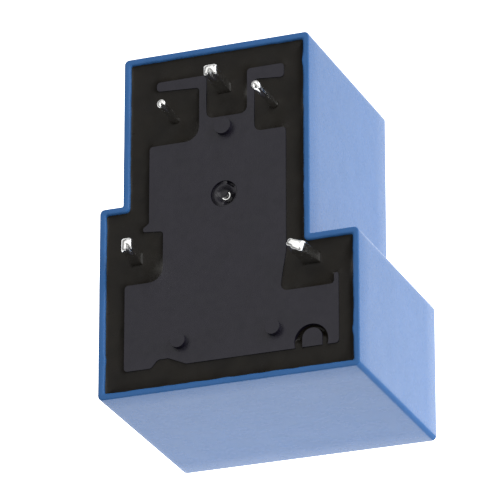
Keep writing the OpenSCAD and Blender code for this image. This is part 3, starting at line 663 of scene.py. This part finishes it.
# Height below the rim that is uneven, with its waves inwards and upwards as (depth, length, seed)
RIM_BAND = 0.6
RIM_INWARD = [(0.035, 4.0, 1.0), (0.02, 1.3, 2.0)]
RIM_UPWARD = [(0.015, 5.0, 3.0)]


def cover_shell():
    """The cover: a lofted cup with rounded edges and the slight unevenness of a thin moulding."""
    def quarter(radius, steps=5):
        angles = np.linspace(0, math.pi / 2, steps + 1)
        return [(radius * (1 - math.sin(a)), radius * (1 - math.cos(a))) for a in angles]

    face = quarter(FACE_R)
    walls = [(0.0, z) for z in np.linspace(FACE_R, RIM_Z - RIM_OUTER_R, 9)[1:-1]]
    rim_out = [(inset, RIM_Z - z) for inset, z in reversed(quarter(RIM_OUTER_R))]
    rim_in = [(CASE_WALL - inset, RIM_Z - z) for inset, z in quarter(RIM_INNER_R)]
    inner = [(CASE_WALL, z) for z in np.linspace(RIM_Z - RIM_INNER_R, CASE_FLOOR, 5)[1:]]
    rings = []
    for inset, z in face + walls + rim_out + rim_in + inner:
        ring = case_outline(inset)
        at_rim = max(0.0, 1 - (RIM_Z - z) / RIM_BAND)
        at_edge = at_rim * (inset > CASE_WALL / 2)
        if at_edge:
            spread = uneven(ring, RIM_INWARD)
            for lump in RIM_LUMPS:
                reach = np.linalg.norm(ring - lump[:2], axis=1)
                spread = spread + lump[2] * np.exp(-(reach / LUMP_W) ** 2)
            ring = shifted(ring, at_edge * spread)
        height = z + at_rim * uneven(ring, RIM_UPWARD)
        rings.append(np.column_stack([ring, np.minimum(height, RIM_Z)]))
    return new_piece("cover_shell", np.vstack(rings), loft(rings), "cover")


def rub_edges(shell, finish):
    """Give a finish to the upright edges of the wide end, which handling has dulled."""
    shell.data.materials.append(finish.material)
    for face in shell.data.polygons:
        face.material_index = int(min(abs(face.normal.x), -face.normal.y) > RUBBED_SLOPE)


def rectangle(centre, width, length, radius=BLADE_EDGE_R, runs=None):
    """Outline of a pin's section with rounded corners."""
    x, y = centre[0], centre[1]
    corners = [
        (x + sx * width / 2, y + sy * length / 2, radius)
        for sx, sy in ((-1, -1), (1, -1), (1, 1), (-1, 1))
    ]
    arcs = rounded(corners, 4)
    return joined(arcs, runs or run_counts(arcs, 0.2))


def pin_loops(gap):
    """Sections of the five pins at the resin, grown by a gap."""
    blades = []
    for blade in BLADES.values():
        width, length = blade["section"]
        blades.append(rectangle(blade["at"], width + 2 * gap, length + 2 * gap))
    return [circle(axis[:2], COIL_PIN_R + gap, 24) for axis in COIL_PINS.values()] + blades


# How far the resin climbs, and over what distance, at the case, the plateau and the pins
MENISCUS = {"case": (0.34, 0.4), "plateau": (0.2, 0.35), "pin": (0.14, 0.18)}
# Pit in the resin round the vent post: depth, radius, width, and direction with its half width and softness
VENT_PIT = {"depth": 0.45, "r": 1.5, "w": 0.3, "turn": (95, 55, 35)}
# Waves of the resin's skin as (depth, length, seed)
RESIN_WAVES = [(0.03, 5.0, 0.4), (0.012, 1.7, 1.4)]
# Distances from a wall at which the skin has rows of points, and the spacing of its points elsewhere
SKIN_ROWS = (0.1, 0.25, 0.5)
SKIN_SPACING = 0.6
# Share of its distance that a row keeps from every wall, and the gap between resin and pin
ROW_CLEAR = 0.8
PIN_GAP = 0.01


def resin_height(points, loops):
    """Height of the resin's skin: it climbs at each wall and is slightly uneven elsewhere."""
    climb = np.zeros(len(points))
    for kind, loop in loops:
        rise, reach = MENISCUS[kind]
        climb = np.maximum(climb, rise * np.exp(-distance(loop, points) / reach))
    gap = points - VENT
    reach, turn = np.linalg.norm(gap, axis=1), np.degrees(np.arctan2(gap[:, 1], gap[:, 0]))
    across = np.exp(-((reach - VENT_PIT["r"]) / VENT_PIT["w"]) ** 2)
    pit = VENT_PIT["depth"] * sector(turn, *VENT_PIT["turn"]) * across
    return RESIN_Z + climb - pit + uneven(points, RESIN_WAVES)


def resin_fill():
    """The resin: one skin with its menisci round the plateau, with holes at the pins."""
    loops = [("case", case_outline(CASE_WALL)), ("plateau", plateau_outline())]
    loops.append(("plateau", vent_post_outline()))
    loops += [("pin", loop) for loop in pin_loops(PIN_GAP)]

    def in_resin(points):
        outside_holes = ~np.any([inside(loop, points) for _, loop in loops[1:]], axis=0)
        return inside(loops[0][1], points) & outside_holes

    def clearance(points):
        return np.min([distance(loop, points) for _, loop in loops], axis=0)

    fixed = [loop for _, loop in loops]
    edges, count = [], 0
    for loop in fixed:
        edges += [(count + i, count + (i + 1) % len(loop)) for i in range(len(loop))]
        count += len(loop)
    extra = []
    for loop in fixed:
        for offset in SKIN_ROWS:
            for side in (-1, 1):
                moved = shifted(loop, np.full(len(loop), side * offset))
                extra.append(moved[in_resin(moved) & (clearance(moved) > ROW_CLEAR * offset)])
    columns, rows = (np.arange(-size / 2, size / 2, SKIN_SPACING) for size in (CASE_W, CASE_L))
    gx, gy = np.meshgrid(columns, rows)
    grid = np.column_stack([gx.ravel(), gy.ravel()])
    grid = grid[in_resin(grid)]
    extra.append(grid[clearance(grid) > SKIN_SPACING])
    points = np.vstack(fixed + extra)
    found, _, triangles, _, _, _ = delaunay_2d_cdt([Vector(p) for p in points], edges, [], 0, 1e-5)
    flat = np.array([tuple(v) for v in found])
    triangles = [tuple(t) for t in triangles]
    middles = np.array([flat[list(t)].mean(axis=0) for t in triangles])
    triangles = [t for t, keep in zip(triangles, in_resin(middles)) if keep]
    top = np.column_stack([flat, resin_height(flat, loops)])
    bottom = np.column_stack([flat, np.full(len(flat), LEDGE_Z)])
    return closed_sheet("resin_fill", top, bottom, triangles)


def closed_sheet(name, top, bottom, triangles):
    """Closed body between a top and a bottom skin."""
    n = len(top)
    ups = []
    for t in triangles:
        a, b, c = (top[i][:2] for i in t)
        turn = (b[0] - a[0]) * (c[1] - a[1]) - (b[1] - a[1]) * (c[0] - a[0])
        ups.append(t if turn > 0 else t[::-1])
    directed = {(t[i], t[(i + 1) % 3]) for t in ups for i in range(3)}
    rim = sorted((a, b) for a, b in directed if (b, a) not in directed)
    faces = ups + [tuple(n + i for i in reversed(t)) for t in ups]
    faces += [(b, a, n + a, n + b) for a, b in rim]
    used = sorted({i for f in faces for i in f})
    order = {old: new for new, old in enumerate(used)}
    faces = [tuple(order[i] for i in f) for f in faces]
    return new_piece(name, np.vstack([top, bottom])[used], faces, "potting", sharp=50.0)


# Direction in degrees, seen from above, in which the seal leaves the core's tip bare
SEAL_OPENING = -50
SEAL_R = CORE_RECESS_R - 0.03
SEAL_EDGE_SINK = 0.06
# Bowl of the seal: depth, and the radii between which it rises to the edge
SEAL_BOWL = {"depth": 0.44, "rise": (0.4, 1.0)}
# Step down to the bare tip: depth, where it falls along the opening, and the radii where it ends
SEAL_BARE = {"depth": 0.3, "fall": (-0.1, 0.04), "end": (0.5, 0.62)}
# Hollows beside the tip: depth, direction with half width and softness, and radii where it starts and ends
PAST_SEAL = (2.0, 3.0)
SEAL_HOLLOWS = [
    (0.6, (SEAL_OPENING, 32, 20), (0.46, 0.56), (1.0, 1.2)),
    (0.5, (55, 12, 15), (0.98, 1.12), PAST_SEAL),
    (0.13, (170, 50, 30), (1.0, SEAL_R), PAST_SEAL),
]
# Waves of the seal's skin as (depth, length, seed), and a bead of resin on it
SEAL_WAVES = [(0.025, 1.3, 0.7)]
SEAL_BEAD = {"at": (1.1, 0.6), "h": 0.1, "w": 0.12}
SEAL_STEPS = 72
SEAL_RINGS = 30


def core_seal():
    """Resin in the recess at the core's end: it leaves a hook of the tip bare, beside a pit."""
    opening = math.radians(SEAL_OPENING)
    rings = []
    for radius in np.linspace(AXIS_R, SEAL_R, SEAL_RINGS):
        flat = circle((0, 0), radius, SEAL_STEPS)
        turn = np.degrees(np.arctan2(flat[:, 1], flat[:, 0]))
        bare = flat @ [math.cos(opening), math.sin(opening)]
        bowl = SEAL_BOWL["depth"] * (1 - eased(radius, *SEAL_BOWL["rise"]))
        height = np.full(len(flat), PLATEAU_Z - SEAL_EDGE_SINK - bowl)
        step = eased(bare, *SEAL_BARE["fall"]) * (1 - eased(radius, *SEAL_BARE["end"]))
        height -= SEAL_BARE["depth"] * step
        for depth, way, start, end in SEAL_HOLLOWS:
            height -= depth * sector(turn, *way) * eased(radius, *start) * (1 - eased(radius, *end))
        height += uneven(flat, SEAL_WAVES)
        from_bead = ((flat - SEAL_BEAD["at"]) ** 2).sum(axis=1)
        height += SEAL_BEAD["h"] * np.exp(-from_bead / SEAL_BEAD["w"] ** 2)
        rings.append(np.column_stack([flat + CORE_AT, np.minimum(height, PLATEAU_Z)]))
    foot = np.full(SEAL_STEPS, base_low[2])
    rings.append(np.column_stack([circle(CORE_AT, SEAL_R, SEAL_STEPS), foot]))
    return new_piece("core_seal", np.vstack(rings), loft(rings), "potting", sharp=60.0)


def handled(loop, node, at):
    """A ring of a pin's free end, nicked by the cutter and bent as handling left it."""
    height = loop[0, 2]
    flat = loop[:, :2] - at[:2]
    nick_turn, nick_w, nick_depth = NICK[node]
    ahead = np.array([math.cos(math.radians(nick_turn)), math.sin(math.radians(nick_turn))])
    forward, across = flat @ ahead, flat @ [-ahead[1], ahead[0]]
    upper = np.clip(1 - (TIP_Z - height) / NICK_H, 0, 1)
    cut = upper * nick_depth * np.clip(1 - abs(across) / nick_w, 0, 1)
    flat = flat - np.outer((forward + NICK_PAST) * (forward > 0) * cut, ahead)
    share = np.clip((height - RESIN_Z) / (TIP_Z - RESIN_Z), 0, 1) ** LEAN_POWER
    lean_x, lean_y, turn = share * np.array(LEAN[node])
    c, s = math.cos(math.radians(turn)), math.sin(math.radians(turn))
    flat = flat @ np.array([[c, s], [-s, c]]) + (lean_x, lean_y)
    return np.column_stack([flat + at[:2], loop[:, 2]])


# Form of the tin on a pin's end: drop below the tip, and growth of the section there
TIN_TIP = [
    (1.0, 0.02), (0.75, 0.045), (0.5, 0.05), (0.32, 0.03), (0.19, -0.02),
    (0.1, -0.09), (0.04, -0.18), (0.01, -0.27), (0.0, -0.34),
]
TIN_REACH = 1.3
# Share of that form on the thinner coil pins, along and across the pin
COIL_TIN = (0.55, 0.8)
# Edge at the foot of a coil pin's square root, and depths below the resin where the root turns round
ROOT_EDGE = (0.08, 0.1)
ROOT_END = (0.25, 0.2)
# Height above the resin of a coil pin's first bent ring
COIL_BEND = 0.3
# Powers of a pin's square and round sections
SQUARE = 8.0
ROUND = 2.0
COIL_PIN_STEPS = 48


def coil_pin(side):
    """A coil pin: square root, round free end and a domed tip of tin."""
    node = "coil_pin_" + side
    low, _ = box_mm(node)
    at = COIL_PINS[side]
    sections = [
        (COIL_ROOT - ROOT_EDGE[0], SQUARE, low[2]),
        (COIL_ROOT, SQUARE, low[2] + ROOT_EDGE[1]),
        (COIL_ROOT, SQUARE, RESIN_Z - ROOT_END[0]),
        (COIL_PIN_R, ROUND, RESIN_Z - ROOT_END[1]),
    ]
    sections += [(COIL_PIN_R, ROUND, z) for z in np.linspace(RESIN_Z + COIL_BEND, TIP_Z - TIN_REACH, 6)]
    along, across = COIL_TIN
    sections += [(COIL_PIN_R + across * grow, ROUND, TIP_Z - along * drop) for drop, grow in TIN_TIP]
    angles = 2 * math.pi * np.arange(COIL_PIN_STEPS) / COIL_PIN_STEPS
    c, s = np.cos(angles), np.sin(angles)
    loops = []
    for radius, power, z in sections:
        reach = radius / (abs(c) ** power + abs(s) ** power) ** (1 / power)
        loop = np.column_stack([at[0] + reach * c, at[1] + reach * s, np.full(COIL_PIN_STEPS, z)])
        loops.append(handled(loop, node, at))
    return new_piece("tinned_" + node, np.vstack(loops), loft(loops), node)


# Depth below the resin at which a blade joins its inner plates, and its overlap with them
BLADE_JOIN = 0.4
BLADE_OVERLAP = 0.2
# Growth of the tin below which it rounds a blade's corners, and the most of a side that a corner takes
TIN_ROUNDS = 0.1
MOST_ROUND = 0.49
# Drop below the tip of a blade's first bent ring, and pieces of each side of its section
BLADE_BEND = 4.2
BLADE_RUNS = [12] * 4


def tinned_blade(node):
    """A load terminal: its inner plates with broken edges, and a blade with a domed tip of tin."""
    at, (width, length) = BLADES[node]["at"], BLADES[node]["section"]
    join_z = RESIN_Z - BLADE_JOIN
    bm = cad_copy(node)
    break_edges(bm, edge=0.1)
    slice_mesh(bm, (0, 0, join_z), (0, 0, 1), keep_below=True)
    loops = []
    plain = [TIP_Z - join_z + BLADE_OVERLAP, *np.linspace(BLADE_BEND, TIN_REACH, 7)]
    for drop, grow in [(drop, 0.0) for drop in plain] + TIN_TIP:
        radius = BLADE_EDGE_R + max(0.0, TIN_ROUNDS - grow) * (drop < TIN_TIP[0][0])
        wide, long = width + 2 * grow, length + 2 * grow
        flat = rectangle(at, wide, long, min(radius, MOST_ROUND * min(wide, long)), BLADE_RUNS)
        loops.append(handled(np.column_stack([flat, np.full(len(flat), TIP_Z - drop)]), node, at))
    points = np.vstack(loops) * MM
    verts = [bm.verts.new(p) for p in points]
    for face in loft(loops):
        bm.faces.new([verts[i] for i in face])
    bmesh.ops.recalc_face_normals(bm, faces=bm.faces)
    mesh = bpy.data.meshes.new("tinned_" + node)
    bm.to_mesh(mesh)
    bm.free()
    return finish_piece("tinned_" + node, mesh, node, sharp=40.0)


def core_end():
    """The iron core: pole face, shaft, stake and a swaged tip with a dimple."""
    yoke_z = box_mm("yoke")[1][2]
    pole_z, tip_z = core_low[2], core_high[2] - CORE_TIP_SINK
    bobbin_z = box_mm("bobbin")[0][2]
    profile = [
        (AXIS_R, pole_z), (POLE_R - POLE_EDGE, pole_z), (POLE_R, pole_z + POLE_EDGE), (POLE_R, bobbin_z),
        (SHAFT_R, bobbin_z), (SHAFT_R, yoke_z - YOKE_T), (STAKE_R, yoke_z - YOKE_T), (STAKE_R, yoke_z),
        (CORE_TIP_R, yoke_z),
    ]
    profile += [(CORE_TIP_R - inset, tip_z - drop) for inset, drop in CORE_SWAGE]
    profile.append((AXIS_R, tip_z - CORE_DIMPLE))
    return turned("swaged_core", "core", profile, [CORE_AT])


# Pieces inside
WIRE_PITCH = 0.24
WINDING_BORE_R = 3.41
RIVET_HEAD = (1.0, 0.4)
RIVET_SHANK_R = 0.6
# Dome of a rivet's head: radius, and depth below its top
RIVET_DOME = [(AXIS_R, 0.0), (0.4, 0.03), (0.7, 0.11), (0.9, 0.22), (0.98, 0.34)]
# Solder on a winding post: gap at its ends, thickness there, and half its arc in radians
SOLDER_GAP = 0.02
SOLDER_FOOT = 0.08
SOLDER_ARC = 1.45
# Band of the leaf along Y that bends, and the ends of its bend, from the hinge
LEAF_BAND = (-0.7, 1.4)


def wound_coil():
    """The winding: a tube with one ridge for each turn of its outer layer."""
    low, high = box_mm("coil_winding")
    outer = (high[0] - low[0]) / 2
    turns = round((high[2] - low[2]) / WIRE_PITCH)
    steps = np.linspace(0, turns, 4 * turns + 1)
    ridge = WIRE_PITCH / 2 * (1 - abs(np.sin(math.pi * steps)))
    profile = [(WINDING_BORE_R, high[2]), (WINDING_BORE_R, low[2])]
    profile += list(zip(outer - ridge, low[2] + steps * (high[2] - low[2]) / turns))
    return turned("wound_coil", "coil_winding", profile, [CORE_AT], closed=True)


def solder_beads():
    """Rounded solder on the two winding posts."""
    low, high = box_mm("coil_solder_joints")
    middle, half = (low[2] + high[2]) / 2, (high[2] - low[2]) / 2
    outer = (high[1] - low[1]) / 2
    rise = np.linspace(-1, 1, 13)
    profile = [(COIL_ROOT, high[2] - SOLDER_GAP), (COIL_ROOT, low[2] + SOLDER_GAP)]
    foot = COIL_ROOT + SOLDER_FOOT
    profile += [(foot + (outer - foot) * math.cos(SOLDER_ARC * t), middle + half * t) for t in rise]
    centres = [axis[:2] for axis in COIL_PINS.values()]
    return turned("solder_beads", "coil_solder_joints", profile, centres, closed=True)


def domed_rivets(node, name, axis, body="housing"):
    """A pair of rivets with domed heads along an axis of the frame."""
    low, high = box_mm(node)
    head_r, head_h = RIVET_HEAD
    dome = RIVET_DOME + [(head_r, head_h), (RIVET_SHANK_R, head_h)]
    profile = [(r, low[axis] + h) for r, h in dome] + [(r, high[axis] - h) for r, h in reversed(dome)]
    across = 3 - axis
    middle = (low[across] + high[across]) / 2
    centres = [(x, middle) for x in (low[0] + head_r, high[0] - head_r)]
    return turned(name, node, profile, centres, lying=axis == 1, body=body)


def contact_leaf():
    """The contact leaf, cut across the band where the real leaf bends at the yoke's edge as the armature
    swings.
    """
    first, last = (HINGE[1] + y for y in LEAF_BAND)
    cuts = [((0, y, 0), (0, 1, 0)) for y in np.linspace(first, last, 9)]
    leaf = softened("contact_spring", "contact_leaf", edge=0.03, body=None, cuts=cuts)
    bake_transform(leaf)
    return leaf


# Scene
# Half side of the floor in metres, and its drop below the relay
FLOOR_HALF = 4.0
FLOOR_DROP = 0.02
# Glow of the floor: place of its middle, reach, and strength in the middle and beyond the reach
FLOOR_GLOW = ((-4.0, -33.0, 0.0), 120.0, 2.45, 0.6)
# Brightness of the surroundings at heights from the horizon to straight up
SKY = [(0.0, 1.0), (0.08, 1.0), (0.18, 0.2), (0.6, 0.3), (0.8, 1.4), (1.0, 1.4)]


def white_floor():
    """Seamless pale floor that glows like a light table."""
    mesh = bpy.data.meshes.new("floor")
    corners = [(x * FLOOR_HALF, y * FLOOR_HALF, 0) for x, y in ((-1, -1), (1, -1), (1, 1), (-1, 1))]
    mesh.from_pydata(corners, [], [(0, 1, 2, 3)])
    floor = bpy.data.objects.new("floor", mesh)
    floor.location.z = -FLOOR_DROP * MM
    bpy.context.scene.collection.objects.link(floor)
    finish = Finish("floor", (0.35, 0.35, 0.35), 0.8, specular=0.1)
    finish.shader.inputs["Emission Color"].default_value = (1, 1, 1, 1)
    finish.glow(*FLOOR_GLOW)
    finish.relief(finish.noise(40, 2), 0.2)
    finish.wear(floor)


def surroundings():
    """Soft white room: bright at the horizon and overhead, dimmer between."""
    world = bpy.data.worlds.new("studio")
    bpy.context.scene.world = world
    world.use_nodes = True
    tree = world.node_tree
    place = tree.nodes.new("ShaderNodeTexCoord")
    split = tree.nodes.new("ShaderNodeSeparateXYZ")
    ramp = tree.nodes.new("ShaderNodeValToRGB")
    stops = ramp.color_ramp.elements
    while len(stops) < len(SKY):
        stops.new(0.5)
    for stop, (height, level) in zip(stops, SKY):
        stop.position = height
        stop.color = (level, level, level, 1)
    tree.links.new(place.outputs["Generated"], split.inputs["Vector"])
    tree.links.new(split.outputs["Z"], ramp.inputs["Fac"])
    tree.links.new(ramp.outputs["Color"], tree.nodes["Background"].inputs["Color"])


def soft_light(name, azimuth, elevation, distance, size, power):
    """Square soft light aimed at the relay, with its distance and size in metres."""
    light = bpy.data.lights.new(name, "AREA")
    light.shape = "SQUARE"
    light.size = size
    light.energy = power
    lamp = bpy.data.objects.new(name, light)
    away = direction(azimuth, elevation)
    lamp.location = away * distance + Vector(VIEW_CENTRE) * MM
    lamp.rotation_euler = away.to_track_quat("Z", "Y").to_euler()
    lamp.visible_camera = False
    bpy.context.scene.collection.objects.link(lamp)


def direction(azimuth, elevation):
    """Unit vector towards a viewer at that azimuth, from -Y towards +X, and elevation."""
    a, e = math.radians(azimuth), math.radians(elevation)
    return Vector((math.sin(a) * math.cos(e), -math.cos(a) * math.cos(e), math.sin(e)))


# The photograph's view
VIEW_AZIMUTH = 41.022
VIEW_ELEVATION = 59.52
VIEW_ROLL = -45.275
VIEW_DISTANCE = 476.869
VIEW_CENTRE = (-1.127, -0.445, 13.077)
LENS = 355.247
SENSOR = 36.0


def photo_camera():
    """Long lens at the photograph's viewing angle."""
    data = bpy.data.cameras.new("camera")
    data.lens = LENS
    data.sensor_width = SENSOR
    data.clip_start = 0.01
    data.clip_end = 20
    camera = bpy.data.objects.new("camera", data)
    back = direction(VIEW_AZIMUTH, VIEW_ELEVATION)
    right = Vector((0, 0, 1)).cross(back).normalized()
    turn = Matrix((right, back.cross(right), back)).transposed()
    turn = turn @ Matrix.Rotation(math.radians(VIEW_ROLL), 3, "Z")
    place = Vector(VIEW_CENTRE) * MM + back * VIEW_DISTANCE * MM
    camera.matrix_world = Matrix.Translation(place) @ turn.to_4x4()
    bpy.context.scene.collection.objects.link(camera)
    bpy.context.scene.camera = camera


photo_camera()
white_floor()
surroundings()
soft_light("right_light", azimuth=108, elevation=16, distance=0.5, size=0.5, power=3.5)
soft_light("back_light", azimuth=180, elevation=35, distance=0.5, size=0.3, power=0.25)
bpy.context.scene.view_settings.view_transform = "Standard"

cover = cover_finish("cover_plastic", roughness=0.27, specular=0.13)
rubbed_cover = cover_finish("rubbed_cover_plastic", roughness=0.55, specular=0.05)
base = base_finish()
resin = resin_finish()
seal = seal_finish()
tin = tin_finish("tinned_copper", (0.77, 0.77, 0.755))
iron = metal_finish("soft_iron", (0.55, 0.55, 0.54), roughness=0.28)
bronze = metal_finish("spring_bronze", (0.62, 0.42, 0.2), roughness=0.25, stretch=(1, 8, 1))
silver = metal_finish("contact_silver", (0.82, 0.81, 0.79), roughness=0.2)
bright = metal_finish("bright_iron", (0.85, 0.85, 0.83), roughness=0.18)
steel = metal_finish("rivet_steel", (0.6, 0.6, 0.59), roughness=0.28)
solder = tin_finish("solder", (0.7, 0.71, 0.72))
bobbin = bobbin_finish()
wire = wire_finish()

shell = cover_shell()
cover.wear(shell)
rub_edges(shell, rubbed_cover)
base.wear(softened("base", "moulded_base", edge=0.12))
resin.wear(resin_fill())
seal.wear(core_seal())
bright.wear(core_end())
for side in COIL_PINS:
    tin.wear(coil_pin(side))
for node in BLADES:
    tin.wear(tinned_blade(node))

bronze.wear(contact_leaf())
for node, body in (("yoke", "housing"), ("armature", "armature")):
    iron.wear(softened(node, "plated_" + node, edge=0.1, body=body))
bobbin.wear(softened("bobbin", "moulded_bobbin", edge=0.08))
wire.wear(wound_coil())
solder.wear(solder_beads())
steel.wear(domed_rivets("armature_rivets", "domed_armature_rivets", axis=2, body="armature"))
steel.wear(domed_rivets("com_rivets", "domed_com_rivets", axis=1))
for node, body in (("moving_contact", "armature"), ("no_contact", "housing"), ("nc_contact", "housing")):
    silver.wear(softened(node, "crowned_" + node, edge=0.08, body=body))
for node in ("coil_lead_left", "coil_lead_right"):
    wire.wear(frame["nodes"][node])
